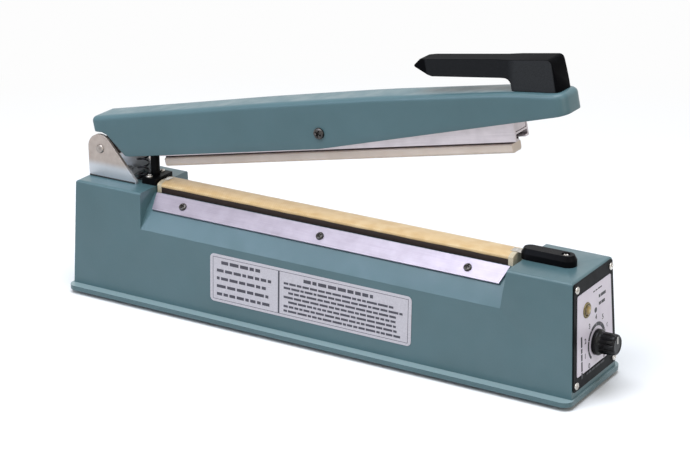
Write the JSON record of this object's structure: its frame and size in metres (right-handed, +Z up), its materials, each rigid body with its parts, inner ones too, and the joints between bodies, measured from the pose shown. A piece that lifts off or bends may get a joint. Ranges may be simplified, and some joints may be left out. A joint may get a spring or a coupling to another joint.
{
  "type": "impulse heat sealer",
  "caption": "Hand impulse heat sealer: cast base with a cloth-covered sealing strip, sprung lever arm with a self-aligning silicone jaw, timer knob and lamp.",
  "frame": {"origin": "middle of the footprint, knob included, on the bench that the feet stand on", "axes": "+X from the hinge towards the timer panel, +Z up, -Y towards the side with the long label"},
  "size_m": [0.4448, 0.083, 0.2343],
  "materials": {
    "blue_grey_enamel": "satin",
    "dark_steel": "matt",
    "zinc_screws": "satin",
    "black_rubber": "matt",
    "black_panel": "satin",
    "panel_print": "satin",
    "nickel_screws": "polished",
    "lamp_trim": "polished",
    "amber_lens": "gloss",
    "timer_body": "matt",
    "black_plastic": "satin",
    "steel_shaft": "satin",
    "white_plastic": "satin",
    "side_print": "satin",
    "brown_laminate": "matt",
    "heating_band": "satin",
    "tan_cloth": "satin",
    "clamp_aluminium": "satin",
    "brass_post": "satin",
    "nickel_sheet": "satin",
    "spring_steel": "satin",
    "core_steel": "matt",
    "copper_winding": "gloss",
    "zinc_sheet": "satin",
    "board_laminate": "satin",
    "nylon": "matt",
    "switch_plastic": "matt",
    "wire_insulation": "satin",
    "jaw_aluminium": "satin",
    "silicone": "matt",
    "red_plastic": "gloss"
  },
  "bodies": {
    "base": {"base_housing": "blue_grey_enamel", "bottom_plate": "dark_steel", "plate_screws": "zinc_screws", "rubber_feet": "black_rubber", "foot_screws": "zinc_screws", "front_panel": "black_panel", "panel_label": "panel_print", "panel_screws": "nickel_screws", "lamp_bezel": "lamp_trim", "lamp_lens": "amber_lens", "timer_control": "timer_body", "timer_nut": "zinc_screws", "side_label": "side_print", "seal_bar": "brown_laminate", "heating_element": "heating_band", "release_cloth": "tan_cloth", "clamp_near": "clamp_aluminium", "clamp_far": "clamp_aluminium", "clamp_screws": "nickel_screws", "front_terminal_cap": "black_plastic", "rear_terminal_cap": "black_plastic", "cap_screws": "zinc_screws", "terminal_posts": "brass_post", "hinge_bracket": "nickel_sheet", "bracket_screws": "zinc_screws", "hinge_pin": "steel_shaft", "hinge_clip": "spring_steel", "return_spring": "spring_steel", "transformer_core": "core_steel", "transformer_coil": "copper_winding", "transformer_strap": "zinc_sheet", "transformer_screws": "zinc_screws", "control_board": "board_laminate", "board_posts": "nylon", "microswitch": "switch_plastic", "switch_bracket": "zinc_sheet", "switch_screws": "zinc_screws", "cord_grommet": "black_rubber", "wiring": "wire_insulation"},
    "arm": {"arm_cover": "blue_grey_enamel", "arm_tongue": "zinc_sheet", "hinge_bush": "nylon", "handle": "black_plastic", "handle_screws": "zinc_screws", "jaw_spacers": "zinc_sheet", "jaw_pivot_screw": "nickel_screws", "jaw_pivot_nut": "zinc_screws"},
    "jaw": {"jaw_channel": "jaw_aluminium", "silicone_strip": "silicone", "jaw_bush": "nylon"},
    "rod": {"push_rod": "black_plastic"},
    "knob": {"timer_knob": "black_plastic", "timer_shaft": "steel_shaft", "knob_pointer": "white_plastic", "knob_grub_screw": "zinc_screws"},
    "button": {"switch_button": "red_plastic"}
  },
  "joints": [
    {"name": "arm_hinge", "type": "hinge", "parent": "base", "child": "arm", "pos_m": [-0.20434, 0, 0.1119], "axis": [0, -1, 0], "range_deg": [-11.5, 13.5], "stiffness_Nm_per_rad": 4, "springref_deg": 20.05, "deforming": ["return_spring"]},
    {"name": "jaw_float", "type": "hinge", "parent": "arm", "child": "jaw", "pos_m": [-0.0073, 0, 0.15607], "axis": [0, -1, 0], "range_deg": [-0.3, 0.3]},
    {"name": "rod_slide", "type": "slide", "parent": "base", "child": "rod", "axis": [0, 0, 1], "range_m": [-0.0081, 0.0095]},
    {"name": "timer_turn", "type": "hinge", "parent": "base", "child": "knob", "pos_m": [0.20458, 0.002, 0.03657], "axis": [0.9989, 0, 0.046], "range_deg": [-140, 140]},
    {"name": "button_press", "type": "slide", "parent": "base", "child": "button", "axis": [0, 0, 1], "range_m": [-0.0011, 0], "stiffness_N_per_m": 200}
  ],
  "couplings": [
    {"joint": "rod_slide", "follows": "arm_hinge", "m_per_rad": 0.0402}
  ]
}
